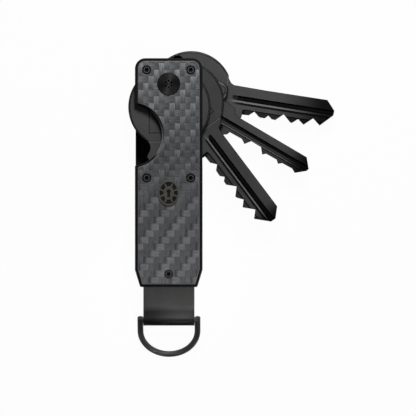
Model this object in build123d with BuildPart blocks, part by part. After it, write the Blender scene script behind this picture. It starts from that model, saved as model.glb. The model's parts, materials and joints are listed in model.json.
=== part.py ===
from build123d import *
from math import asin, atan2, cos, degrees, radians, sin, sqrt
import os

# Key organiser: two carbon-faced plates clamp a stack of four keys on one pivot,
# and a folded steel strap at the other end carries a D-ring.
# Frame: origin at the middle of the rear face, which lies on the table; +Y runs
# towards the pivot end, +Z out of the front face, +X to the side the keys open on.

# ---- driving dimensions, in millimetres and degrees ----
body_width = 20.8
body_length = 70.5
body_height = 16.1
top_corner_radius = 3.2
tail_taper_width = 1.6
tail_taper_length = 5.3
tail_corner_radius = 0.6

scale_thickness = 1.2
scale_inset = 0.88
scale_edge_chamfer = 0.2
liner_thickness = 1.6
liner_edge_chamfer = 0.3

notch_centre_x = -11.45
notch_centre_y = 11.5
notch_radius = 9.35
scale_notch_radius = 10.0
notch_corner_radius = 0.5

pivot_y = 27.25
pivot_diameter = 5.0
pivot_head_diameter = 7.0
pivot_head_proud = 0.2
pivot_head_chamfer = 0.15
rear_head_recess = 0.05
spanner_hole_count = 6
spanner_hole_diameter = 0.62
spanner_hole_circle = 1.0
spanner_hole_depth = 0.7
barrel_end_gap = 0.2
barrel_thread_diameter = 3.0
barrel_thread_depth = 9.0
pivot_screw_reach = 8.0

screw_head_diameter = 2.6
screw_head_height = 0.6
screw_head_recess = 0.15
screw_head_chamfer = 0.3
screw_shank_diameter = 1.6
socket_radius = 0.55
socket_lobe_radius = 0.2
socket_lobe_count = 6
socket_depth = 0.7
screw_side_x = 6.77
screw_top_y = 31.6
screw_mid_y = -1.65
screw_end_y = -31.25
short_screw_reach = 1.85
long_screw_reach = 5.0
counterbore_diameter = 2.85

stop_post_diameter = 2.4
end_post_diameter = 3.2
post_thread_depth = 4.0

key_thickness = 2.0
washer_thickness = 0.42
washer_diameter = 9.0
spring_washer_sheet = 0.3
stack_gap = 0.05
running_clearance = 0.05
static_clearance = 0.02
blade_relief = 0.1
blade_edge_chamfer = 0.15
blade_end = 60.0
ledge_edge = -9.0
height_tolerance = 0.01
low_key_opening = 36.9
middle_key_opening = 59.67
top_key_opening = 81.02

bow_end = 17.95
bow_edge_depth = 0.3
round_bow_bevel = 0.45
bow_crease_width = 0.18
bow_crease_depth = 0.2
panel_bow_radius = 12.7
panel_bow_centre_x = 6.95
panel_bow_centre_y = 0.2
panel_start = 5.2
panel_end = 15.1
panel_width = 12.3
panel_line_width = 0.2
panel_line_depth = 0.2
round_bow_radius = 12.85
round_bow_centre_x = 7.15
round_bow_centre_y = -1.2
dimple_x = 1.45
dimple_y = 7.64
dimple_diameter = 2.4
dimple_countersink = 3.9
dimple_depth = 1.1
square_bow_start = -4.8
square_bow_end = 17.1
square_bow_bottom = -9.9
square_bow_top = 9.1
square_bow_far_radius = 6.0
square_bow_near_radius = 2.5
square_bow_bevel = 0.9
square_neck_width = 9.4

strap_width = 15.8
strap_sheet = 0.8
strap_fold_gap = 0.1
strap_bend_radius = 10.0
strap_inner_end_y = -27.2

ring_outer_radius = 9.75
ring_wire = 1.8
ring_leg = 4.1
ring_corner_trim = 0.05
ring_bar_y = -45.55

spacer_top_y = -26.4
spacer_inset = 0.7
spacer_edge_chamfer = 0.25

badge_y = -6.25
badge_half_width = 3.3
badge_half_height = 3.9
badge_base = 0.12
badge_relief = 0.42
badge_rim = 0.5
badge_ray_count = 8
badge_ray_turn = 22.5
badge_ray_width = 0.5
badge_boss_half_width = 1.6
badge_boss_half_height = 2.1
keyhole_lift = 0.45
keyhole_radius = 0.65
keyhole_neck = 0.55
keyhole_foot = 1.1
keyhole_drop = 1.3

# ---- heights and planes worked out from the stack ----
bay_low = scale_thickness + liner_thickness
bay_high = body_height - bay_low
middle_z = body_height / 2
layer_pitch = washer_thickness + key_thickness + 2 * stack_gap

# Each plate is drawn on its own outer face. The rear face is the front one turned
# over about Y, so the same drawing puts the rear notch on the opening side.
front_face = Plane(origin=(0, 0, body_height), x_dir=(1, 0, 0), z_dir=(0, 0, 1))
rear_face = Plane(origin=(0, 0, 0), x_dir=(-1, 0, 0), z_dir=(0, 0, -1))

top_screws = [(-screw_side_x, screw_top_y), (screw_side_x, screw_top_y)]
middle_screws = [(-screw_side_x, screw_mid_y), (screw_side_x, screw_mid_y)]
plate_holes = top_screws + middle_screws + [(0, screw_end_y)]

os.makedirs("parts", exist_ok=True)


def save(part, label):
    """Names a finished piece and writes its STEP file."""
    part.label = label
    export_step(part, f"parts/{label}.step")


# ---- plates ----


def body_outline(plane, inset, cut_radius=None):
    """Outline of the body drawn in by inset, with a thumb notch of cut_radius on the local left."""
    half_width = body_width / 2
    half_length = body_length / 2
    tail_corner_y = tail_taper_length - half_length
    with BuildSketch(plane) as outline:
        with BuildLine():
            Polyline(
                (-half_width, half_length),
                (half_width, half_length),
                (half_width, tail_corner_y),
                (half_width - tail_taper_width, -half_length),
                (tail_taper_width - half_width, -half_length),
                (-half_width, tail_corner_y),
                close=True,
            )
        make_face()
        fillet(outline.vertices().group_by(Axis.Y)[-1], top_corner_radius)
        fillet(outline.vertices().group_by(Axis.Y)[0], tail_corner_radius)
        if inset:
            offset(amount=-inset, mode=Mode.REPLACE)
        if cut_radius:
            with Locations((notch_centre_x, notch_centre_y)):
                Circle(cut_radius, mode=Mode.SUBTRACT)
            notch_ends = outline.vertices().sort_by_distance((notch_centre_x, notch_centre_y))[:2]
            fillet(notch_ends, notch_corner_radius)
    return outline.sketch


def outer_edges(builder, face_plane):
    """Edges of a plate that lie on its outer face."""
    return builder.edges().filter_by(
        lambda edge: abs(face_plane.to_local_coords(edge.center()).Z) < height_tolerance
    )


def make_scale(label, face):
    """Carbon plate with its screw counterbores and the round window for the pivot head."""
    window_radius = pivot_head_diameter / 2 + running_clearance
    bore_radius = counterbore_diameter / 2
    bore_depth = screw_head_recess + screw_head_height
    with BuildPart() as plate:
        extrude(body_outline(face, scale_inset, scale_notch_radius), amount=-scale_thickness)
        chamfer(outer_edges(plate, face), scale_edge_chamfer)
        with Locations(face):
            with Locations((0, pivot_y)):
                Hole(window_radius)
            with Locations(*plate_holes):
                CounterBoreHole(screw_shank_diameter / 2 + static_clearance, bore_radius, bore_depth)
    save(plate.part, label)


def make_liner(label, scale_face):
    """Steel plate behind a scale, with a bevelled outer edge."""
    face = scale_face.offset(-scale_thickness)
    with BuildPart() as plate:
        extrude(body_outline(face, 0, notch_radius), amount=-liner_thickness)
        chamfer(outer_edges(plate, face), liner_edge_chamfer)
        with Locations(face):
            with Locations((0, pivot_y)):
                Hole(pivot_diameter / 2 + static_clearance)
            with Locations(*plate_holes):
                Hole(screw_shank_diameter / 2 + static_clearance)
    save(plate.part, label)


make_scale("front_scale", front_face)
make_scale("rear_scale", rear_face)
make_liner("front_liner", front_face)
make_liner("rear_liner", rear_face)


# ---- scale screws: button heads with a six-lobe socket ----


def make_screws(label, face, spots, reach):
    """Group of equal screws, one at each spot of a plate."""
    head_top = face.offset(-screw_head_recess)
    head_base = head_top.offset(-screw_head_height)
    with BuildPart() as screws:
        with BuildSketch(head_base):
            with Locations(*spots):
                Circle(screw_head_diameter / 2)
        extrude(amount=screw_head_height)
        chamfer(outer_edges(screws, head_top), screw_head_chamfer)
        with BuildSketch(head_base):
            with Locations(*spots):
                Circle(screw_shank_diameter / 2)
        extrude(amount=-reach)
        with BuildSketch(head_top):
            with Locations(*spots):
                Circle(socket_radius)
                with PolarLocations(socket_radius, socket_lobe_count):
                    Circle(socket_lobe_radius)
        extrude(amount=-socket_depth, mode=Mode.SUBTRACT)
    save(screws.part, label)


# The stop post stands on the left of the body, seen from the front, so on the rear
# face its screw is in the other middle hole. The tail screw is a long one too.
left_screw, right_screw = middle_screws
tail_screw = (0, screw_end_y)
make_screws("front_plate_screws", front_face, top_screws + [right_screw], short_screw_reach)
make_screws("front_post_screws", front_face, [left_screw, tail_screw], long_screw_reach)
make_screws("rear_plate_screws", rear_face, top_screws + [left_screw], short_screw_reach)
make_screws("rear_post_screws", rear_face, [right_screw, tail_screw], long_screw_reach)


# ---- posts between the liners ----


def make_post(label, spot, diameter):
    """Round post between the liners, threaded from both ends."""
    base = Plane.XY.offset(bay_low)
    top = Plane.XY.offset(bay_high)
    thread_radius = screw_shank_diameter / 2 + static_clearance
    with BuildPart() as post:
        with BuildSketch(base):
            with Locations(spot):
                Circle(diameter / 2)
        extrude(amount=bay_high - bay_low)
        with BuildSketch(base):
            with Locations(spot):
                Circle(thread_radius)
        extrude(amount=post_thread_depth, mode=Mode.SUBTRACT)
        with BuildSketch(top):
            with Locations(spot):
                Circle(thread_radius)
        extrude(amount=-post_thread_depth, mode=Mode.SUBTRACT)
    save(post.part, label)


make_post("stop_post", (-screw_side_x, screw_mid_y), stop_post_diameter)
make_post("end_post", (0, screw_end_y), end_post_diameter)


# ---- pivot: barrel from the front, screw from the rear ----


def spanner_holes(plane):
    """Ring of small blind holes for a pin spanner, centred on the pivot."""
    with BuildSketch(plane) as holes:
        with Locations((0, pivot_y)):
            with PolarLocations(spanner_hole_circle, spanner_hole_count, start_angle=30):
                Circle(spanner_hole_diameter / 2)
    return holes.sketch


barrel_end = Plane.XY.offset(scale_thickness + barrel_end_gap)
barrel_head_top = Plane.XY.offset(body_height + pivot_head_proud)
with BuildPart() as pivot_barrel:
    with BuildSketch(barrel_end):
        with Locations((0, pivot_y)):
            Circle(pivot_diameter / 2)
    extrude(amount=body_height - 2 * scale_thickness - barrel_end_gap)
    with BuildSketch(front_face.offset(-scale_thickness)):
        with Locations((0, pivot_y)):
            Circle(pivot_head_diameter / 2)
    extrude(amount=scale_thickness + pivot_head_proud)
    chamfer(outer_edges(pivot_barrel, barrel_head_top), pivot_head_chamfer)
    with BuildSketch(barrel_end):
        with Locations((0, pivot_y)):
            Circle(barrel_thread_diameter / 2)
    extrude(amount=barrel_thread_depth, mode=Mode.SUBTRACT)
    extrude(spanner_holes(barrel_head_top), amount=-spanner_hole_depth, mode=Mode.SUBTRACT)
save(pivot_barrel.part, "pivot_barrel")

rear_head_top = rear_face.offset(-rear_head_recess)
with BuildPart() as pivot_screw:
    with BuildSketch(rear_head_top):
        with Locations((0, pivot_y)):
            Circle(pivot_head_diameter / 2)
    extrude(amount=rear_head_recess - scale_thickness)
    chamfer(outer_edges(pivot_screw, rear_head_top), pivot_head_chamfer)
    with BuildSketch(Plane.XY.offset(scale_thickness)):
        with Locations((0, pivot_y)):
            Circle(barrel_thread_diameter / 2 - static_clearance)
    extrude(amount=pivot_screw_reach)
    extrude(spanner_holes(rear_head_top), amount=-spanner_hole_depth, mode=Mode.SUBTRACT)
save(pivot_screw.part, "pivot_screw")


# ---- washers between the keys ----


def make_washer(label, base_z):
    with BuildPart() as washer:
        with BuildSketch(Plane.XY.offset(base_z)):
            with Locations((0, pivot_y)):
                Circle(washer_diameter / 2)
                Circle(pivot_diameter / 2 + running_clearance, mode=Mode.SUBTRACT)
        extrude(amount=washer_thickness)
    save(washer.part, label)


for layer, name in enumerate(("rear", "top_key", "middle_key", "low_key")):
    make_washer(f"{name}_washer", bay_low + layer * layer_pitch)

# The front washer is a shallow cone that keeps the stack tight.
spring_rise = washer_thickness - spring_washer_sheet
with BuildPart() as spring_washer:
    with BuildSketch(Plane(origin=(0, pivot_y, bay_high), x_dir=(1, 0, 0), z_dir=(0, -1, 0))):
        with BuildLine():
            Polyline(
                (pivot_diameter / 2 + running_clearance, 0),
                (washer_diameter / 2, -spring_rise),
                (washer_diameter / 2, -washer_thickness),
                (pivot_diameter / 2 + running_clearance, -spring_washer_sheet),
                close=True,
            )
        make_face()
    revolve(axis=Axis((0, pivot_y, 0), (0, 0, 1)))
save(spring_washer.part, "spring_washer")


# ---- keys ----
# A key is drawn flat in its own plane: x runs from the pivot to the tip and y to
# the smooth back of the blade. Opening is counted from the folded position.


def key_plane(opening, layer):
    """Plane of a key's rear side, at its opening angle and its place in the stack."""
    base_z = bay_low + layer * layer_pitch + washer_thickness + stack_gap
    direction = (sin(radians(opening)), -cos(radians(opening)), 0)
    return Plane(origin=(0, pivot_y, base_z), x_dir=direction, z_dir=(0, 0, 1))


def round_bow(plane, radius, centre):
    """Round key head, cut straight where the neck begins."""
    with BuildSketch(plane) as bow:
        with Locations(centre):
            Circle(radius)
        with Locations((bow_end, centre[1])):
            Rectangle(radius, 2 * radius, align=(Align.MIN, Align.CENTER), mode=Mode.SUBTRACT)
    return bow.sketch


def round_crease(plane, radius, centre):
    """Narrow ring just inside the bevel of a round head, open at the neck."""
    outer_radius = radius - round_bow_bevel
    with BuildSketch(plane) as crease:
        with Locations(centre):
            Circle(outer_radius)
            Circle(outer_radius - bow_crease_width, mode=Mode.SUBTRACT)
        with Locations((bow_end, centre[1])):
            Rectangle(radius, 2 * radius, align=(Align.MIN, Align.CENTER), mode=Mode.SUBTRACT)
    return crease.sketch


def square_bow(plane):
    """Square key head with large corners at the far end and small ones at the neck."""
    width = square_bow_top - square_bow_bottom
    with BuildSketch(plane) as bow:
        with Locations((square_bow_start, square_bow_bottom)):
            Rectangle(square_bow_end - square_bow_start, width, align=(Align.MIN, Align.MIN))
        corners = bow.sketch_local.vertices().group_by(Axis.X)
        fillet(corners[0], square_bow_far_radius)
        fillet(bow.sketch_local.vertices().group_by(Axis.X)[-1], square_bow_near_radius)
    return bow.sketch


def square_crease(plane):
    """Narrow line just inside the bevel of the square head, open at the neck."""
    with BuildSketch(plane) as crease:
        add(square_bow(Plane.XY))
        offset(amount=-square_bow_bevel, mode=Mode.REPLACE)
        offset(amount=-bow_crease_width, mode=Mode.SUBTRACT)
        with Locations((square_bow_end, 0)):
            Rectangle(4 * square_bow_bevel, square_neck_width, mode=Mode.SUBTRACT)
    return crease.sketch


def side_edges(builder, plane, heights):
    """Edges that lie at the given heights above a key's plane."""

    def lies_there(edge):
        edge_height = plane.to_local_coords(edge.center()).Z
        return min(abs(edge_height - height) for height in heights) < height_tolerance

    return builder.edges().filter_by(lies_there)


def milling(face, start, cutter_radius, section):
    """Groove along the blade left by a disc cutter: section lists (y, depth) pairs."""
    section_plane = Plane(
        origin=face.from_local_coords(Vector(start, 0, 0)),
        x_dir=face.y_dir,
        z_dir=face.x_dir,
    )
    deepest = max(depth for _, depth in section)
    with BuildPart() as cutter:
        with BuildSketch(section_plane) as profile:
            with BuildLine():
                Polyline(
                    (section[0][0], blade_relief),
                    *[(y, -depth) for y, depth in section],
                    (section[-1][0], blade_relief),
                    close=True,
                )
            make_face()
        extrude(amount=blade_end - start)
        centre = section_plane.from_local_coords(Vector(0, cutter_radius - deepest, 0))
        revolve(profile.sketch, axis=Axis(centre, section_plane.x_dir), revolution_arc=360)
    return cutter.part


def key_blank(plane, bow, bow_bevel, creases, edge, rounded):
    """Flat key with bevelled head and a slightly thinner blade, bored for the pivot.

    The two creases lie on the rear and the front side of the head. Each corner of the
    blade listed in rounded as (corner, radius) is rounded off.
    """
    with BuildPart() as blade:
        with BuildSketch(plane.offset(blade_relief)) as profile:
            with BuildLine():
                Polyline(*edge, close=True)
            make_face()
            for corner, radius in rounded:
                fillet(profile.vertices().sort_by_distance(corner)[0], radius)
        extrude(amount=key_thickness - 2 * blade_relief)
        chamfer(side_edges(blade, plane, (blade_relief, key_thickness - blade_relief)), blade_edge_chamfer)
    with BuildPart() as blank:
        extrude(bow, amount=key_thickness)
        chamfer(side_edges(blank, plane, (0, key_thickness)), bow_edge_depth, bow_bevel)
        rear_crease, front_crease = creases
        extrude(rear_crease, amount=bow_crease_depth, mode=Mode.SUBTRACT)
        extrude(front_crease, amount=-bow_crease_depth, mode=Mode.SUBTRACT)
        add(blade.part)
        with BuildSketch(plane):
            Circle(pivot_diameter / 2 + running_clearance)
        extrude(amount=key_thickness, mode=Mode.SUBTRACT)
    return blank.part


def finish_key(label, plane, blank, front_cuts, rear_cut):
    """Mills a blank's cuts, each given as (where it starts, cutter radius, section)."""
    front = plane.offset(key_thickness - blade_relief)
    rear_origin = plane.from_local_coords(Vector(0, 0, blade_relief))
    rear = Plane(origin=rear_origin, x_dir=plane.x_dir, z_dir=-plane.z_dir)
    grooves = [milling(front, *cut) for cut in front_cuts] + [milling(rear, *rear_cut)]
    with BuildPart() as key:
        add(blank)
        for groove in grooves:
            add(groove, mode=Mode.SUBTRACT)
    save(key.part, label)


def make_panel_key(label, opening, layer):
    """Round-headed key with a square panel engraved in its head."""
    plane = key_plane(opening, layer)
    back = [(16.0, 8.7), (17.2, 7.4), (19.2, 5.7), (19.8, 4.6), (20.3, 4.3), (22.0, 4.15), (50.2, 4.2)]
    tip = [(52.9, 1.5), (52.85, -0.15), (49.0, -3.85)]
    bitting = [
        (46.95, -1.8),
        (44.05, -4.55),
        (42.3, -2.85),
        (40.65, -4.15),
        (40.0, -4.35),
        (37.75, -2.15),
        (35.4, -4.4),
        (34.15, -4.35),
        (33.2, -3.35),
        (32.0, -4.4),
        (30.0, -4.3),
        (28.65, -2.9),
        (26.95, -4.3),
        (24.45, -4.4),
    ]
    stop = (22.4, -6.75)
    waist = (19.4, -5.5)
    neck = [(24.4, -5.55), stop, waist, (17.8, -6.3), (16.6, -7.7)]
    centre = (panel_bow_centre_x, panel_bow_centre_y)
    bow = round_bow(plane, panel_bow_radius, centre)
    creases = [round_crease(side, panel_bow_radius, centre) for side in (plane, plane.offset(key_thickness))]
    rounded = [(stop, 0.5), (waist, 2.5)]
    blank = key_blank(plane, bow, round_bow_bevel, creases, back + tip + bitting + neck, rounded)
    with BuildPart() as panelled:
        add(blank)
        with BuildSketch(plane.offset(key_thickness)):
            with Locations((panel_start, 0)):
                Rectangle(panel_end - panel_start, panel_width, align=(Align.MIN, Align.CENTER))
            offset(amount=-panel_line_width, mode=Mode.SUBTRACT)
        extrude(amount=-panel_line_depth, mode=Mode.SUBTRACT)
    deep_side = [(1.2, 0), (1.05, 0.65), (0.3, 0.65), (-0.45, 0.1)]
    shallow_side = [(-0.85, 0.1), (-1.0, 0.45), (-1.3, 0.45), (-1.5, 0)]
    groove = (22.4, 5.0, deep_side + shallow_side)
    ledge = (25.0, 3.0, [(-2.7, 0), (-3.0, 0.35), (ledge_edge, 0.35)])
    rear_groove = (24.0, 8.0, [(-1.5, 0), (-1.7, 0.5), (-2.7, 0.5), (-2.9, 0)])
    finish_key(label, plane, panelled.part, [groove, ledge], rear_groove)


def make_square_key(label, opening, layer):
    """Square-headed key with a wide bevel and a deep wide groove."""
    plane = key_plane(opening, layer)
    back = [(16.4, 4.5), (17.3, 4.4), (21.3, 4.2), (22.35, 2.6), (23.65, 2.25), (48.15, 2.2)]
    tip = [(50.55, -0.65), (50.25, -1.5), (47.4, -3.85)]
    bitting = [
        (46.05, -3.1),
        (42.55, -3.2),
        (41.5, -4.05),
        (40.5, -3.15),
        (36.75, -3.2),
        (35.85, -4.05),
        (34.35, -2.25),
        (30.8, -2.2),
        (29.45, -4.0),
        (27.95, -3.05),
        (23.65, -3.15),
    ]
    neck = [(23.3, -4.15), (22.25, -4.85), (16.4, -4.95)]
    rounded = [((21.3, 4.2), 0.8), ((22.35, 2.6), 0.8), ((22.25, -4.85), 0.5)]
    creases = [square_crease(side) for side in (plane, plane.offset(key_thickness))]
    blank = key_blank(
        plane, square_bow(plane), square_bow_bevel, creases, back + tip + bitting + neck, rounded
    )
    deep_side = [(0.05, 0), (-0.05, 0.7), (-1.0, 0.7), (-1.05, 0.2)]
    shallow_side = [(-1.65, 0.3), (-1.85, 0)]
    groove = (18.5, 5.0, deep_side + shallow_side)
    ledge = (21.4, 2.5, [(-2.05, 0), (-2.2, 0.4), (ledge_edge, 0.4)])
    rear_groove = (23.0, 8.0, [(0.1, 0), (-0.1, 0.45), (-1.1, 0.45), (-1.3, 0)])
    finish_key(label, plane, blank, [groove, ledge], rear_groove)


def make_round_key(label, opening, layer):
    """Plain round-headed key with a countersunk dimple in its head."""
    plane = key_plane(opening, layer)
    back = [(16.4, 7.4), (17.65, 5.6), (18.55, 4.2), (19.05, 3.6), (19.95, 3.15), (30.0, 3.0), (49.3, 3.1)]
    tip = [(51.95, 0.1), (51.85, -1.35), (48.15, -5.1)]
    bitting = [
        (45.8, -3.2),
        (43.15, -5.65),
        (41.25, -4.15),
        (39.5, -5.65),
        (38.95, -5.55),
        (36.6, -3.4),
        (34.3, -5.55),
        (33.15, -5.5),
        (31.95, -4.55),
        (30.95, -5.55),
        (29.25, -5.5),
        (27.45, -4.05),
        (25.9, -5.4),
        (23.8, -5.5),
    ]
    neck = [(23.7, -6.75), (16.4, -6.75)]
    centre = (round_bow_centre_x, round_bow_centre_y)
    bow = round_bow(plane, round_bow_radius, centre)
    creases = [round_crease(side, round_bow_radius, centre) for side in (plane, plane.offset(key_thickness))]
    rounded = [((17.65, 5.6), 1.5), ((19.05, 3.6), 0.8), ((23.7, -6.75), 0.4)]
    blank = key_blank(plane, bow, round_bow_bevel, creases, back + tip + bitting + neck, rounded)
    with BuildPart() as dimpled:
        add(blank)
        with Locations(plane.offset(key_thickness)):
            with Locations((dimple_x, dimple_y)):
                CounterSinkHole(dimple_diameter / 2, dimple_countersink / 2, depth=dimple_depth)
    deep_side = [(0.15, 0), (-0.05, 0.6), (-0.9, 0.6), (-1.4, 0.12)]
    shallow_side = [(-2.0, 0.12), (-2.1, 0.45), (-2.5, 0.45), (-2.65, 0)]
    groove = (23.6, 12.0, deep_side + shallow_side)
    ledge = (24.6, 1.5, [(-3.85, 0), (-4.1, 0.35), (ledge_edge, 0.35)])
    rear_groove = (24.0, 8.0, [(-0.5, 0), (-0.7, 0.5), (-1.6, 0.5), (-1.8, 0)])
    finish_key(label, plane, dimpled.part, [groove, ledge], rear_groove)


make_round_key("top_key", top_key_opening, 0)
make_square_key("middle_key", middle_key_opening, 1)
make_panel_key("low_key", low_key_opening, 2)
make_panel_key("folded_key", 0, 3)


# ---- tail: spacers, folded strap and D-ring ----


def make_spacer(label, low_z, high_z):
    """Block between a liner and the strap, shaped like the tail of the body."""
    tail_cut = Plane(origin=(0, spacer_top_y, 0), x_dir=(1, 0, 0), z_dir=(0, -1, 0))
    with BuildPart() as block:
        extrude(body_outline(Plane.XY.offset(low_z), spacer_inset), amount=high_z - low_z)
        split(bisect_by=tail_cut, keep=Keep.TOP)
        chamfer(block.edges().filter_by(Axis.Z), spacer_edge_chamfer)
        with Locations((0, screw_end_y, high_z)):
            Hole(end_post_diameter / 2 + static_clearance)
    save(block.part, label)


strap_half_height = strap_sheet + strap_fold_gap / 2
make_spacer("rear_spacer", bay_low, middle_z - strap_half_height)
make_spacer("front_spacer", middle_z + strap_half_height, bay_high)

# The strap is one strip folded in two: both layers run out of the body together,
# part in a soft bend and wrap round the D-ring's bar.
loop_radius = ring_wire / 2 + running_clearance + strap_sheet / 2
layer_height = (strap_sheet + strap_fold_gap) / 2
bend_height = layer_height + strap_bend_radius
bend_run = sqrt((loop_radius + strap_bend_radius) ** 2 - bend_height**2)
loop_angle = degrees(atan2(bend_height, bend_run))
strap_side = Plane(origin=(-strap_width / 2, ring_bar_y, middle_z), x_dir=(0, 1, 0), z_dir=(1, 0, 0))
strap_run = strap_inner_end_y - ring_bar_y
with BuildPart() as strap:
    with BuildSketch(strap_side):
        with BuildLine():
            Line((strap_run, layer_height), (bend_run, layer_height))
            CenterArc((bend_run, bend_height), strap_bend_radius, -90, loop_angle - 90)
            CenterArc((0, 0), loop_radius, loop_angle, 360 - 2 * loop_angle)
            CenterArc((bend_run, -bend_height), strap_bend_radius, 180 - loop_angle, loop_angle - 90)
            Line((bend_run, -layer_height), (strap_run, -layer_height))
        trace(line_width=strap_sheet)
    extrude(amount=strap_width)
    with Locations((0, screw_end_y, middle_z + strap_half_height)):
        Hole(end_post_diameter / 2 + static_clearance)
save(strap.part, "strap")

# The D-ring hangs from its bar and its far end droops to the table.
ring_radius = ring_outer_radius - ring_wire / 2
ring_reach = ring_leg + ring_radius
ring_droop = asin((middle_z - ring_wire / 2) / ring_reach)
ring_corner = ring_wire / 2 - ring_corner_trim
ring_plane = Plane(
    origin=(0, ring_bar_y, middle_z),
    x_dir=(1, 0, 0),
    z_dir=(0, -sin(ring_droop), cos(ring_droop)),
)
bar_half = ring_outer_radius - ring_corner_trim
with BuildPart() as d_ring:
    with BuildLine(ring_plane) as hoop:
        Line((-ring_radius, ring_corner), (-ring_radius, -ring_leg))
        CenterArc((0, -ring_leg), ring_radius, 180, 180)
        Line((ring_radius, -ring_leg), (ring_radius, ring_corner))
    with BuildSketch(Plane(origin=hoop.line @ 0, z_dir=hoop.line % 0)):
        Circle(ring_wire / 2)
    sweep()
    with BuildSketch(Plane(origin=(-bar_half, ring_bar_y, middle_z), z_dir=(1, 0, 0))):
        Circle(ring_wire / 2)
    extrude(amount=2 * bar_half)
save(d_ring.part, "d_ring")


# ---- badge: oval escutcheon, a keyhole boss and a ring joined by short rays ----
with BuildPart() as badge:
    with BuildSketch(front_face):
        with Locations((0, badge_y)):
            Ellipse(badge_half_width, badge_half_height)
    extrude(amount=badge_base)
    with BuildSketch(front_face):
        with Locations((0, badge_y)):
            Ellipse(badge_half_width, badge_half_height)
            Ellipse(badge_half_width - badge_rim, badge_half_height - badge_rim, mode=Mode.SUBTRACT)
            with PolarLocations(0, badge_ray_count, start_angle=badge_ray_turn):
                Rectangle(badge_half_width - badge_rim / 2, badge_ray_width, align=(Align.MIN, Align.CENTER))
            Ellipse(badge_boss_half_width, badge_boss_half_height)
        with Locations((0, badge_y + keyhole_lift)):
            Circle(keyhole_radius, mode=Mode.SUBTRACT)
        with BuildLine():
            Polyline(
                (-keyhole_neck / 2, badge_y + keyhole_lift),
                (keyhole_neck / 2, badge_y + keyhole_lift),
                (keyhole_foot / 2, badge_y - keyhole_drop),
                (-keyhole_foot / 2, badge_y - keyhole_drop),
                close=True,
            )
        make_face(mode=Mode.SUBTRACT)
    extrude(amount=badge_relief)
save(badge.part, "badge")
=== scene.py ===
import json
import math

import bmesh
import bpy
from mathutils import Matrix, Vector


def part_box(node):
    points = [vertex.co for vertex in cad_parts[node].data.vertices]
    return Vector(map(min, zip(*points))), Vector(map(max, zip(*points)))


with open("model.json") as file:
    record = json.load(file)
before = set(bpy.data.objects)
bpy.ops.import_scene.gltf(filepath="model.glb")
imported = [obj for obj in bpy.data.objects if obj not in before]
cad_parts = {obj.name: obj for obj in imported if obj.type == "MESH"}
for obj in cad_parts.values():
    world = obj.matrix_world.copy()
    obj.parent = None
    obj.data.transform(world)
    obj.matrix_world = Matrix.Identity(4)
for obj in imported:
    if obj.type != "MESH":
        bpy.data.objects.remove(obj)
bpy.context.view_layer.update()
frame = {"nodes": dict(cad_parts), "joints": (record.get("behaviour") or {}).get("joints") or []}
nodes = frame["nodes"]
scene = bpy.context.scene
MM = 0.001

# ---- where things are, in metres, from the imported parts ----
barrel_low, barrel_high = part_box("pivot_barrel")
pivot = (barrel_low + barrel_high) / 2
plate_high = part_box("front_scale")[1]
strap_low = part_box("strap")[0]
post_low, post_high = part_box("stop_post")
bay_half = (post_high.z - post_low.z) / 2
NOTCH_CENTRE = (-11.45 * MM, 11.5 * MM, 0.0)  # of the front plate's thumb notch


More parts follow.
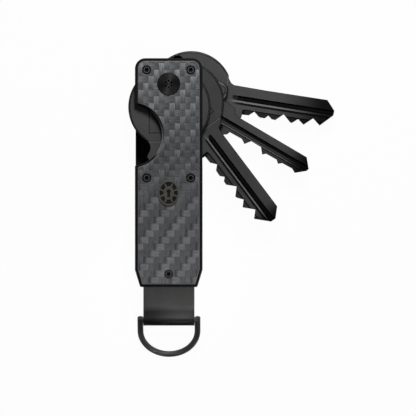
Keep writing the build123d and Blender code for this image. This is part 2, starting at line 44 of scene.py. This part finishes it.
# ---- small helpers for node materials ----
class Graph:
    """A material with one Principled shader and short calls that add nodes to it."""

    def __init__(self, name):
        self.material = bpy.data.materials.new(name)
        self.material.use_nodes = True
        self.tree = self.material.node_tree
        self.tree.nodes.clear()
        self.shader = self.tree.nodes.new("ShaderNodeBsdfPrincipled")
        output = self.tree.nodes.new("ShaderNodeOutputMaterial")
        self.tree.links.new(self.shader.outputs[0], output.inputs[0])
        self.place = self.node("ShaderNodeTexCoord").outputs["Object"]

    def node(self, kind, **settings):
        made = self.tree.nodes.new(kind)
        for key, value in settings.items():
            setattr(made, key, value)
        return made

    def feed(self, socket, value):
        if isinstance(value, bpy.types.NodeSocket):
            self.tree.links.new(value, socket)
        else:
            socket.default_value = value

    def math(self, operation, *values):
        made = self.node("ShaderNodeMath", operation=operation)
        for socket, value in zip(made.inputs, values):
            self.feed(socket, value)
        return made.outputs[0]

    def vector(self, operation, *values):
        made = self.node("ShaderNodeVectorMath", operation=operation)
        for socket, value in zip(made.inputs, values):
            self.feed(socket, value)
        return made.outputs[0]

    def product(self, *values):
        """Multiplies two or more numbers."""
        result = values[0]
        for value in values[1:]:
            result = self.math("MULTIPLY", result, value)
        return result

    def apart(self, value, place):
        """How far a number lies from a place, either way."""
        return self.math("ABSOLUTE", self.math("SUBTRACT", value, place))

    def radius(self, x, y):
        """Distance from the Z axis."""
        return self.math("SQRT", self.math("ADD", self.product(x, x), self.product(y, y)))

    def scaled(self, vector, factor):
        """A vector or a colour multiplied by a number."""
        made = self.node("ShaderNodeVectorMath", operation="SCALE")
        self.feed(made.inputs[0], vector)
        self.feed(made.inputs["Scale"], factor)
        return made.outputs[0]

    def parts(self, vector):
        made = self.node("ShaderNodeSeparateXYZ")
        self.feed(made.inputs[0], vector)
        return made.outputs[0], made.outputs[1], made.outputs[2]

    def join(self, x, y, z):
        made = self.node("ShaderNodeCombineXYZ")
        for socket, value in zip(made.inputs, (x, y, z)):
            self.feed(socket, value)
        return made.outputs[0]

    def noise(self, vector, scale, detail=2.0, rough=0.5):
        made = self.node("ShaderNodeTexNoise")
        self.feed(made.inputs["Vector"], vector)
        made.inputs["Scale"].default_value = scale
        made.inputs["Detail"].default_value = detail
        made.inputs["Roughness"].default_value = rough
        return made.outputs[0]

    def between(self, value, low, high, out_low=0.0, out_high=1.0):
        """Maps low..high smoothly onto out_low..out_high, clamped."""
        made = self.node("ShaderNodeMapRange", interpolation_type="SMOOTHSTEP")
        for socket, number in zip(made.inputs, (value, low, high, out_low, out_high)):
            self.feed(socket, number)
        return made.outputs[0]

    def mix(self, factor, first, second):
        """Mixes two numbers."""
        made = self.node("ShaderNodeMix", data_type="FLOAT")
        self.feed(made.inputs[0], factor)
        self.feed(made.inputs[2], first)
        self.feed(made.inputs[3], second)
        return made.outputs[0]

    def blend(self, factor, first, second):
        """Mixes two colours."""
        made = self.node("ShaderNodeMix", data_type="RGBA")
        self.feed(made.inputs[0], factor)
        for index, colour in ((6, first), (7, second)):
            self.feed(made.inputs[index], (*colour, 1) if isinstance(colour, tuple) else colour)
        return made.outputs[2]

    def bump(self, height, distance, strength, normal=None):
        """A normal tilted by fine relief, distance deep at full strength."""
        made = self.node("ShaderNodeBump")
        made.inputs["Strength"].default_value = strength
        made.inputs["Distance"].default_value = distance
        self.feed(made.inputs["Height"], height)
        if normal is not None:
            self.feed(made.inputs["Normal"], normal)
        return made.outputs[0]

    def normal(self):
        """The surface's own normal, turned back into the piece's frame."""
        made = self.node(
            "ShaderNodeVectorTransform", vector_type="NORMAL", convert_from="WORLD", convert_to="OBJECT"
        )
        self.feed(made.inputs[0], self.node("ShaderNodeNewGeometry").outputs["Normal"])
        return made.outputs[0]

    def slope(self):
        """How level the surface lies: 1 on the flat faces, 0 on the sides."""
        return self.math("ABSOLUTE", self.parts(self.normal())[2])

    def edge_wear(self):
        """1 on bevelled edges, 0 on flat faces and on sides."""
        level = self.slope()
        return self.product(self.between(level, 0.12, 0.4), self.between(level, 0.99, 0.93))

    def finish(self, colour, roughness, metallic=0.0, normal=None, **constants):
        """Sets up the shader and gives back the material; constants are further sockets by name."""
        self.feed(self.shader.inputs["Base Color"], colour)
        self.feed(self.shader.inputs["Roughness"], roughness)
        self.shader.inputs["Metallic"].default_value = metallic
        if normal is not None:
            self.feed(self.shader.inputs["Normal"], normal)
        for name, value in constants.items():
            self.feed(self.shader.inputs[name.replace("_", " ")], value)
        return self.material


def grey(value, warm=0.0):
    """A grey, made browner by warm."""
    return (value * (1 + 0.4 * warm), value * (1 + 0.2 * warm), value * (1 - warm))


# ---- carbon: 2/2 twill, crossing tows with their fibres, under a satin resin ----
TOW_X = 1.61 * MM      # pitch of the upright tows
TOW_Y = 2.058 * MM     # pitch of the level tows
WEAVE_X = 0.25 * MM    # an edge of an upright tow
WEAVE_Y = -11.55 * MM  # an edge of a level tow
SWAY = 0.16            # how far the tows wander, as a share of their pitch
CROWN_LONG = 0.06      # how much a float curves along its length
CROWN_WIDE = 0.03      # and across it
# painted light and shade on the floats near the pivot, in the middle and at the tail: where along a
# float the tone starts and stops changing, and the tones there. Floats crown at one end and dive under
# at the other, and are painted paler or darker along their length to match.
UPRIGHT_PAINTED_LIGHT = {
    "pivot": (0.0, 1.0, 0.185, 0.090),
    "middle": (0.0, 1.0, 0.118, 0.062),
    "tail": (0.0, 1.0, 0.085, 0.088),
}
LEVEL_PAINTED_LIGHT = {
    "pivot": (0.0, 0.8, 0.150, 0.084),
    "middle": (0.0, 0.7, 0.095, 0.066),
    "tail": (0.05, 0.42, 0.046, 0.140),
}


def painted_float_light(g, along, tones, near_pivot, near_tail):
    """The painted light and shade at a place along a float, mixed from the three parts of the body."""
    tone = g.mix(near_pivot, g.between(along, *tones["middle"]), g.between(along, *tones["pivot"]))
    return g.mix(near_tail, tone, g.between(along, *tones["tail"]))


def make_carbon(name):
    """Satin 2/2 twill whose tone is painted light and shade, from where a place lies on its tow's float.
    """
    g = Graph(name)
    x, y, z = g.parts(g.place)
    elsewhere = g.vector("ADD", g.place, (0.3, 0.1, 0.0))
    sway_x = g.math("MULTIPLY_ADD", g.noise(g.place, 420, 2.0), SWAY, -SWAY / 2)
    sway_y = g.math("MULTIPLY_ADD", g.noise(elsewhere, 420, 2.0), SWAY, -SWAY / 2)
    u = g.math("ADD", g.math("DIVIDE", g.math("SUBTRACT", x, WEAVE_X), TOW_X), sway_x)
    v = g.math("ADD", g.math("DIVIDE", g.math("SUBTRACT", y, WEAVE_Y), TOW_Y), sway_y)
    column = g.math("FLOOR", u)
    row = g.math("ADD", g.math("FLOOR", v), 1.0)
    across_u = g.math("SUBTRACT", u, column)
    across_v = g.math("SUBTRACT", g.math("ADD", v, 1.0), row)
    step = g.math("FLOORED_MODULO", g.math("SUBTRACT", column, row), 4.0)
    level = g.math("GREATER_THAN", step, 1.5)
    # 0..1 along each float: level ones from the left, upright ones from the top
    along_level = g.product(g.math("ADD", g.math("SUBTRACT", step, 2.0), across_u), 0.5)
    along_upright = g.product(g.math("SUBTRACT", g.math("ADD", step, 1.0), across_v), 0.5)
    along = g.mix(level, along_upright, along_level)
    across = g.mix(level, across_u, across_v)
    tilt_along = g.math("MULTIPLY_ADD", along, 2.0, -1.0)
    tilt_across = g.math("POWER", g.math("MULTIPLY_ADD", across, 2.0, -1.0), 3.0)
    tilt_x = g.mix(level, g.product(tilt_across, CROWN_WIDE), g.product(tilt_along, CROWN_LONG))
    tilt_y = g.mix(level, g.product(tilt_along, -CROWN_LONG), g.product(tilt_across, CROWN_WIDE))
    flat = g.between(g.slope(), 0.9, 0.99)
    own = g.node("ShaderNodeNewGeometry").outputs["Normal"]
    tilt = g.scaled(g.join(tilt_x, tilt_y, 0.0), flat)
    woven = g.vector("NORMALIZE", g.vector("ADD", own, tilt))
    # fibres run along each tow, and no two tows hold the same amount of resin
    fibre_level = g.noise(g.join(g.product(x, 0.12), y, z), 3600, 3.0, 0.75)
    fibre_upright = g.noise(g.join(x, g.product(y, 0.12), z), 3600, 3.0, 0.75)
    fibre = g.mix(level, fibre_upright, fibre_level)
    tow = g.node("ShaderNodeTexWhiteNoise", noise_dimensions="3D")
    start_column = g.math("SUBTRACT", column, g.mix(level, 0.0, g.math("SUBTRACT", step, 2.0)))
    start_row = g.math("ADD", row, g.mix(level, step, 0.0))
    g.feed(tow.inputs["Vector"], g.join(start_column, start_row, level))
    tow_tone = g.between(tow.outputs[0], 0.0, 1.0, 0.90, 1.10)
    near_pivot = g.between(y, 4.0 * MM, 30.0 * MM)
    near_tail = g.between(y, 6.0 * MM, -14.0 * MM)
    upright_tone = painted_float_light(g, along, UPRIGHT_PAINTED_LIGHT, near_pivot, near_tail)
    level_tone = painted_float_light(g, along, LEVEL_PAINTED_LIGHT, near_pivot, near_tail)
    float_tone = g.mix(level, upright_tone, level_tone)
    # painted shade darkens each float along its edges and at the end where it dives under
    off_middle = g.math("ABSOLUTE", g.math("MULTIPLY_ADD", across, 2.0, -1.0))
    seam = g.between(off_middle, 0.80, 1.0, 1.0, g.mix(level, 0.92, 0.76))
    seam = g.product(seam, g.between(along, 0.92, 1.0, 1.0, 0.80))
    streak = g.between(fibre, 0.3, 0.7, 0.70, 1.32)
    tone = g.product(tow_tone, float_tone, seam, streak)
    # the cut sides show the stacked plies instead of the weave
    ply = g.noise(g.join(g.product(x, 0.05), g.product(y, 0.05), z), 5200, 1.0)
    cut_edge = g.mix(g.between(g.slope(), 0.3, 0.6), g.between(ply, 0.35, 0.65, 0.028, 0.055), 0.15)
    tone = g.mix(flat, cut_edge, tone)
    colour = g.scaled((0.76, 0.775, 0.81), tone)
    rough = g.between(fibre, 0.3, 0.7, 0.36, 0.48)
    normal = g.bump(fibre, 0.012 * MM, 0.5, woven)
    return g.finish(colour, rough, 0.3, normal, Specular_IOR_Level=0.2)


# ---- black metals ----
def make_black_metal(
    name, tone, rough, wear_tone, grain=0.006, grain_scale=5200, metallic=0.8, drift=0.10, warm=0.0,
    specular=0.4, shaded=None
):
    """Blackened steel: fine blasted grain, soft uneven tone, coating thinned on the bevels.

    shaded is a function that works out a further factor on the tone from the graph.
    """
    g = Graph(name)
    patches = g.noise(g.place, 140, 3.0, 0.55)
    fine = g.noise(g.place, grain_scale, 2.0, 0.6)
    wear = g.product(g.edge_wear(), g.between(g.noise(g.place, 900, 3.0, 0.6), 0.25, 0.6, 0.6, 1.0))
    base = g.blend(wear, grey(tone, warm), grey(wear_tone, warm))
    spread = g.between(patches, 0.3, 0.7, 1.0 - drift, 1.0 + drift)
    if shaded:
        spread = g.product(spread, shaded(g))
    colour = g.scaled(base, g.product(spread, g.between(fine, 0.3, 0.7, 0.95, 1.05)))
    roughness = g.between(patches, 0.3, 0.7, rough - 0.04, rough + 0.05)
    return g.finish(
        colour, roughness, metallic, g.bump(fine, grain * MM, 0.6), Specular_IOR_Level=specular
    )


def liner_paler_inside_and_rim_highlight(g):
    """Two and a half times paler on the inner faces, and a painted highlight on the bevel round the
    far side of the front notch."""
    height = g.parts(g.place)[2]
    inner = g.math("LESS_THAN", g.apart(height, plate_high.z / 2), bay_half + 0.02 * MM)
    paler_inside = g.math("MULTIPLY_ADD", inner, 1.5, 1.0)
    x, y, _ = g.parts(g.vector("SUBTRACT", g.place, NOTCH_CENTRE))
    out = g.radius(x, y)
    # painted highlight: the bevel round the far side of the notch is painted up to sixteen times paler
    rim_highlight = g.product(
        g.between(out, 9.30 * MM, 9.45 * MM), g.between(out, 10.1 * MM, 10.0 * MM),
        g.between(x, 5.0 * MM, 8.0 * MM), g.between(y, -7.0 * MM, -4.5 * MM),
        g.math("GREATER_THAN", height, plate_high.z / 2),
    )
    return g.product(paler_inside, g.math("MULTIPLY_ADD", rim_highlight, 15.0, 1.0))


def strap_painted_light(g):
    """Painted light and shade on the strap: paler near the body, darker from its bend to the ring, and
    darker still at its very end.
    """
    y = g.parts(g.place)[1]
    # painted light near the body and painted shade from the bend to the ring
    light_and_shade_painted = g.between(y, strap_low.y + 4.0 * MM, strap_low.y + 6.5 * MM, 0.26, 1.5)
    # painted shade at the strap's very end
    end = g.between(y, strap_low.y + 1.0 * MM, strap_low.y + 3.0 * MM, 0.5, 1.0)
    return g.product(light_and_shade_painted, end)


def painted_shade_on_badge_ground(g):
    """The badge's low ground between the raised pewter lines is painted near black, as painted shade."""
    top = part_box("badge")[1].z
    height = g.parts(g.place)[2]
    return g.between(height, top - 0.25 * MM, top - 0.12 * MM, 0.06, 1.0)


# how the keys are worn and what light and shade is painted on them: tone of the faces, factor on the
# ledge's tone (painted shade), the neck's distance from the pivot, where the painted shade towards the
# blade's point starts and ends, and the painted highlight on the ridge beside the groove as (place
# across the blade, half width); lengths in mm
PAINTED_LIGHT_AND_KEY_WEAR = {
    "folded_key": dict(tone=0.045, ledge_shade=0.5, neck=17.75, tip_shade=(46.0, 54.0), rib_highlight=(-0.65, 0.3)),
    "low_key": dict(tone=0.039, ledge_shade=0.55, neck=17.75, tip_shade=(47.0, 52.0), rib_highlight=(-0.65, 0.3)),
    "middle_key": dict(tone=0.046, ledge_shade=0.80, neck=16.7, tip_shade=(39.0, 49.0), rib_highlight=(-1.95, 0.2)),
    "top_key": dict(tone=0.051, ledge_shade=0.25, neck=17.75, tip_shade=(33.0, 49.0), rib_highlight=(-1.7, 0.4)),
}
RIB_HIGHLIGHT_TONE = 0.13


def key_opening(name):
    """How far a key is open at rest, in radians: its joint's lower limit is the folded place."""
    joint = next(joint for joint in frame["joints"] if joint["name"] == name + "_pivot")
    return -math.radians(joint["range_deg"][0])


def make_key_metal(name, tone, ledge_shade, neck, tip_shade, rib_highlight):
    """Coated key worn grey where hands and locks rub it; painted shade darkens the cuts, the sides, the
    bevels' foot and the blade towards its point, and painted highlights brighten the ridge beside the
    groove and the neck line.
    """
    g = Graph(name + "_black")
    turn = key_opening(name)
    low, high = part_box(name)
    x, y, z = g.parts(g.vector("SUBTRACT", g.place, (pivot.x, pivot.y, (low.z + high.z) / 2)))
    along = g.math("SUBTRACT", g.product(x, math.sin(turn)), g.product(y, math.cos(turn)))
    aside = g.math("ADD", g.product(x, math.cos(turn)), g.product(y, math.sin(turn)))
    local = g.join(along, aside, z)
    patches = g.noise(local, 130, 3.0, 0.55)
    fine = g.noise(local, 5200, 2.0, 0.6)
    drawn = g.noise(g.join(g.product(along, 0.05), aside, z), 4200, 2.0, 0.6)
    slanted = g.math("ADD", g.product(along, 0.04), g.product(aside, 0.012))
    scratches = g.between(g.noise(g.join(slanted, aside, z), 2600, 1.0, 0.4), 0.72, 0.78)
    scratches = g.product(scratches, g.between(g.noise(local, 220, 1.0), 0.52, 0.66))
    wear = g.product(g.edge_wear(), g.between(g.noise(local, 800, 3.0, 0.6), 0.25, 0.6, 0.55, 1.0))
    base = g.blend(wear, grey(tone), grey(tone * 1.3))
    base = g.blend(g.product(scratches, 0.3), base, grey(tone * 1.9))
    spread = g.between(patches, 0.3, 0.7, 0.94, 1.06)
    lines = g.between(drawn, 0.3, 0.7, 0.97, 1.03)
    # depth below the key's faces: blades lie 0.1 mm lower, ledges 0.45 mm, grooves 0.6 to 0.8 mm
    depth = g.math("SUBTRACT", (high.z - low.z) / 2, g.math("ABSOLUTE", z))
    in_blade = g.between(along, 18.0 * MM, 22.0 * MM)
    # painted shade: ledges, grooves and the cuts in the head are darkened by their depth
    ledge = g.between(depth, 0.20 * MM, 0.40 * MM, 1.0, ledge_shade)
    groove = g.between(depth, 0.47 * MM, 0.60 * MM, 1.0, 0.02)
    in_head_cut = g.between(depth, 0.3 * MM, 0.6 * MM, 1.0, 0.25)
    cut = g.mix(in_blade, in_head_cut, g.product(ledge, groove))
    # engraved lines in the head are 0.2 mm deep with a level floor, and are painted dark as their shade
    level = g.slope()
    engraved_shade = g.product(
        g.between(depth, 0.13 * MM, 0.18 * MM), g.between(depth, 0.27 * MM, 0.22 * MM),
        g.between(level, 0.97, 0.99), g.mix(in_blade, 1.0, 0.0),
    )
    cut = g.product(cut, g.math("MULTIPLY_ADD", engraved_shade, -0.9, 1.0))
    # a ridge is left beside the groove, and is painted pale as its highlight
    place, half_width = rib_highlight
    ridge = g.between(g.apart(aside, place * MM), half_width * MM, half_width * 0.3 * MM)
    shallow = g.product(g.between(depth, 0.42 * MM, 0.25 * MM), in_blade)
    base = g.blend(g.product(ridge, shallow), base, grey(RIB_HIGHLIGHT_TONE))
    # painted shade keeps the cut sides and the foot of the head's bevel near black
    side = g.product(g.between(level, 0.70, 0.92, 0.22, 1.0), g.between(level, 0.93, 0.99, 0.60, 1.0))
    foot = g.between(depth, 0.10 * MM, 0.24 * MM, 0.0, g.between(level, 0.98, 0.95))
    side = g.product(side, g.math("MULTIPLY_ADD", foot, -0.9, 1.0))
    # painted shade darkens the blade towards its point
    shade_from, shade_to = tip_shade
    shade = g.product(cut, side, g.between(along, shade_from * MM, shade_to * MM, 1.0, 0.04))
    # painted highlight along the line where the head ends and the blade begins
    light_and_shade_painted = g.between(g.apart(along, neck * MM), 0.20 * MM, 0.08 * MM)
    light_and_shade_painted = g.product(light_and_shade_painted, g.between(g.math("ABSOLUTE", aside), 6.6 * MM, 6.0 * MM))
    shade = g.mix(light_and_shade_painted, shade, 2.0)
    colour = g.scaled(base, g.product(spread, lines, shade))
    roughness = g.between(patches, 0.3, 0.7, 0.42, 0.50)
    normal = g.bump(g.math("ADD", fine, g.product(drawn, 0.6)), 0.005 * MM, 0.6)
    return g.finish(colour, roughness, 0.3, normal, Specular_IOR_Level=0.1)


def make_turned_metal(name, tone, rough, metallic, anisotropy=0.7, hole_shade_heights=None):
    """Turned on a lathe round the pivot: fine rings, with a painted double highlight.

    The heights given last are those between which everything is painted black, a painted shade for each
    drilled hole.
    """
    g = Graph(name)
    x, y, z = g.parts(g.vector("SUBTRACT", g.place, (pivot.x, pivot.y, 0.0)))
    radius = g.radius(x, y)
    rings = g.noise(g.join(radius, 0.0, g.product(z, 0.5)), 9000, 2.0, 0.7)
    patches = g.noise(g.place, 500, 2.0)
    middle = g.between(radius, 0.9 * MM, 1.7 * MM, 2.0, 1.0)
    # painted highlight: two pale fans, up-left and down-right of the middle
    angle = g.math("ARCTAN2", y, x)
    highlight_wedge = g.math("COSINE", g.math("MULTIPLY_ADD", angle, 2.0, math.radians(90)))
    highlight_wedges = g.between(highlight_wedge, -0.2, 1.0, 0.85, 1.35)
    grain = g.product(g.between(rings, 0.3, 0.7, 0.82, 1.18), g.between(patches, 0.3, 0.7, 0.94, 1.06))
    shade = g.product(grain, middle, highlight_wedges)
    # painted shade: everything between those heights is darkened near black
    if hole_shade_heights:
        in_hole_shade = g.product(g.math("GREATER_THAN", z, hole_shade_heights[0]), g.math("LESS_THAN", z, hole_shade_heights[1]))
        shade = g.product(shade, g.math("MULTIPLY_ADD", in_hole_shade, -0.95, 1.0))
    # painted shade: the bevelled edges are painted darker
    base = g.blend(g.edge_wear(), grey(tone), grey(tone * 0.4))
    g.feed(g.shader.inputs["Tangent"], g.join(x, y, 0.0))
    colour = g.scaled(base, shade)
    normal = g.bump(rings, 0.008 * MM, 0.5)
    return g.finish(colour, rough, metallic, normal, Anisotropic=anisotropy, Specular_IOR_Level=0.3)


def make_screw_metal(name):
    """Blackened screw: head face worn a little; its socket and the bevel round it are painted black as
    their shade.
    """
    g = Graph(name)
    z = g.parts(g.place)[2]
    front_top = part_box("front_plate_screws")[1].z
    rear_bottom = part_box("rear_plate_screws")[0].z
    fine = g.noise(g.place, 9000, 2.0, 0.6)
    above = g.between(z, front_top - 0.16 * MM, front_top - 0.02 * MM)
    below = g.between(z, rear_bottom + 0.02 * MM, rear_bottom + 0.16 * MM, 1.0, 0.0)
    face = g.math("MAXIMUM", above, below)
    face = g.product(face, g.between(g.slope(), 0.75, 0.95))
    # painted shade: all but the level head face is near black
    colour = g.blend(face, grey(0.006), grey(0.085))
    colour = g.scaled(colour, g.between(fine, 0.3, 0.7, 0.85, 1.15))
    return g.finish(colour, 0.36, 0.8, g.bump(fine, 0.004 * MM, 0.5), Specular_IOR_Level=0.3)


materials = {
    "carbon": make_carbon("carbon_twill"),
    "liner": make_black_metal(
        "liner_black", 0.006, 0.44, 0.010, metallic=0.3, specular=0.08, shaded=liner_paler_inside_and_rim_highlight
    ),
    "pivot": make_turned_metal(
        "pivot_turned", 0.011, 0.34, metallic=0.5, hole_shade_heights=(0.3 * MM, barrel_high.z - 0.3 * MM)
    ),
    "screw": make_screw_metal("screw_black"),
    "strap": make_black_metal(
        "strap_black", 0.046, 0.46, 0.046, grain=0.003, grain_scale=7000, metallic=0.3, drift=0.05,
        specular=0.1, shaded=strap_painted_light
    ),
    "ring": make_black_metal(
        "ring_black", 0.040, 0.40, 0.040, grain=0.004, grain_scale=7000, metallic=0.3, drift=0.08,
        specular=0.2
    ),
    "spacer": make_black_metal("spacer_black", 0.03, 0.5, 0.06),
    "post": make_black_metal("post_steel", 0.10, 0.35, 0.16, metallic=1.0),
    "washer": make_turned_metal("washer_steel", 0.30, 0.32, metallic=1.0, anisotropy=0.5),
    "pewter": make_black_metal(
        "pewter", 0.066, 0.40, 0.105, grain=0.012, grain_scale=3500, metallic=0.5, warm=0.14,
        specular=0.4, shaded=painted_shade_on_badge_ground
    ),
}
# each key's material takes its wear and its painted light and shade from the table
materials |= {name: make_key_metal(name, **wear) for name, wear in PAINTED_LIGHT_AND_KEY_WEAR.items()}
finish_of = {
    "front_scale": "carbon", "rear_scale": "carbon", "front_liner": "liner", "rear_liner": "liner",
    "badge": "pewter", "pivot_barrel": "pivot", "pivot_screw": "pivot", "stop_post": "post",
    "end_post": "post", "front_spacer": "spacer", "rear_spacer": "spacer", "strap": "strap",
    "d_ring": "ring",
}
for name, node in nodes.items():
    kind = "washer" if "washer" in name else "screw"
    if name in PAINTED_LIGHT_AND_KEY_WEAR:
        kind = name
    for slot in node.material_slots:
        slot.material = materials[finish_of.get(name, kind)]


# ---- edges: the parts listed get a slightly rounded edge that catches light ----
# width of the rounded edge, in mm
ROUNDED = {
    "front_scale": 0.05, "rear_scale": 0.05, "front_liner": 0.06, "rear_liner": 0.06,
    "pivot_barrel": 0.04, "pivot_screw": 0.04, "folded_key": 0.06, "low_key": 0.06,
    "middle_key": 0.06, "top_key": 0.06, "front_plate_screws": 0.03, "front_post_screws": 0.03,
    "rear_plate_screws": 0.03, "rear_post_screws": 0.03, "badge": 0.06, "strap": 0.08,
    "front_spacer": 0.08, "rear_spacer": 0.08,
}
for name, width in ROUNDED.items():
    weld = nodes[name].modifiers.new("weld", "WELD")
    weld.merge_threshold = 0.002 * MM
    bevel = nodes[name].modifiers.new("rounded_edges", "BEVEL")
    bevel.width = width * MM
    bevel.segments = 2
    bevel.limit_method = "ANGLE"
    bevel.angle_limit = math.radians(28)
    bevel.use_clamp_overlap = True
    bevel.harden_normals = True


# ---- studio: pale floor, soft lights, long lens straight above ----
SENSOR = 36.0       # mm, as the lens is
CAMERA_DISTANCE = 1.3
VIEW_WIDTH = 128.0 * MM
AIM_X, AIM_Y = 12.1 * MM, -10.9 * MM
FLOOR_SIZE = 4.0    # half the table's width
FLOOR_GAP = 0.02 * MM
FLOOR_GLOW = 0.97
SKY = [(0.0, 0.03), (0.17, 0.04), (0.40, 0.06), (0.65, 0.06), (0.85, 0.05), (1.0, 0.05)]  # height, level


def make_floor():
    """Large pale table, which the camera sees glow as an overexposed backdrop does."""
    mesh = bpy.data.meshes.new("floor")
    built = bmesh.new()
    bmesh.ops.create_grid(built, x_segments=8, y_segments=8, size=FLOOR_SIZE)
    built.to_mesh(mesh)
    built.free()
    floor = bpy.data.objects.new("floor", mesh)
    floor.location = (0, 0, -FLOOR_GAP)
    scene.collection.objects.link(floor)
    g = Graph("floor_pale")
    paper = g.noise(g.place, 60, 3.0)
    seen = g.node("ShaderNodeLightPath").outputs["Is Camera Ray"]
    colour = g.blend(seen, grey(0.55), grey(0.006))
    colour = g.scaled(colour, g.between(paper, 0.3, 0.7, 0.99, 1.0))
    g.feed(g.shader.inputs["Emission Strength"], g.product(seen, FLOOR_GLOW))
    g.finish(colour, 0.85, 0.0, Specular_IOR_Level=0.2, Emission_Color=(1, 1, 1, 1))
    mesh.materials.append(g.material)


def add_softbox(name, place, target, width, height, radiance, spread=180.0):
    """Rectangular soft light; its power follows from its size and how bright its face is."""
    lamp = bpy.data.lights.new(name, "AREA")
    lamp.shape = "RECTANGLE"
    lamp.size = width
    lamp.size_y = height
    lamp.energy = radiance * math.pi * width * height
    lamp.spread = math.radians(spread)
    holder = bpy.data.objects.new(name, lamp)
    holder.location = place
    holder.rotation_euler = (Vector(target) - Vector(place)).to_track_quat("-Z", "Y").to_euler()
    scene.collection.objects.link(holder)


def add_camera():
    """Camera with a long lens, straight above a point beside the body so that the keys fit."""
    camera = bpy.data.cameras.new("camera")
    camera.sensor_width = SENSOR
    camera.lens = SENSOR * CAMERA_DISTANCE / VIEW_WIDTH
    camera.clip_start = 0.05
    camera.clip_end = 20.0
    holder = bpy.data.objects.new("camera", camera)
    holder.location = (AIM_X, AIM_Y, plate_high.z + CAMERA_DISTANCE)
    scene.collection.objects.link(holder)
    scene.camera = holder


def make_world():
    """Dim studio round the object, darkest at the horizon; plain white where the camera sees it."""
    world = bpy.data.worlds.new("studio")
    scene.world = world
    world.use_nodes = True
    tree = world.node_tree
    background = tree.nodes["Background"]
    place = tree.nodes.new("ShaderNodeTexCoord")
    height = tree.nodes.new("ShaderNodeSeparateXYZ")
    ramp = tree.nodes.new("ShaderNodeValToRGB")
    tree.links.new(place.outputs["Generated"], height.inputs[0])
    tree.links.new(height.outputs["Z"], ramp.inputs[0])
    while len(ramp.color_ramp.elements) < len(SKY):
        ramp.color_ramp.elements.new(0.5)
    for element, (where, level) in zip(ramp.color_ramp.elements, SKY):
        element.position = where
        element.color = (level, level, level, 1)
    seen = tree.nodes.new("ShaderNodeLightPath")
    pick = tree.nodes.new("ShaderNodeMix")
    pick.data_type = "RGBA"
    tree.links.new(seen.outputs["Is Camera Ray"], pick.inputs[0])
    tree.links.new(ramp.outputs[0], pick.inputs[6])
    pick.inputs[7].default_value = (1, 1, 1, 1)
    tree.links.new(pick.outputs[2], background.inputs["Color"])


make_floor()
make_world()
BODY_MIDDLE = (0, 0, 0.015)  # on the front face, in metres
TAIL = (0, -0.0395, 0.009)   # where the strap leaves the body
add_softbox("softbox_main", (0.055, 0.302, 0.35), BODY_MIDDLE, 0.12, 0.12, 64.0)
add_softbox("softbox_right", (0.26, -0.14, 0.34), BODY_MIDDLE, 0.16, 0.16, 3.5)
add_softbox("softbox_tail", (0.05, -0.22, 0.26), TAIL, 0.04, 0.02, 1.25, spread=9.0)
add_camera()
scene.view_settings.view_transform = "Standard"
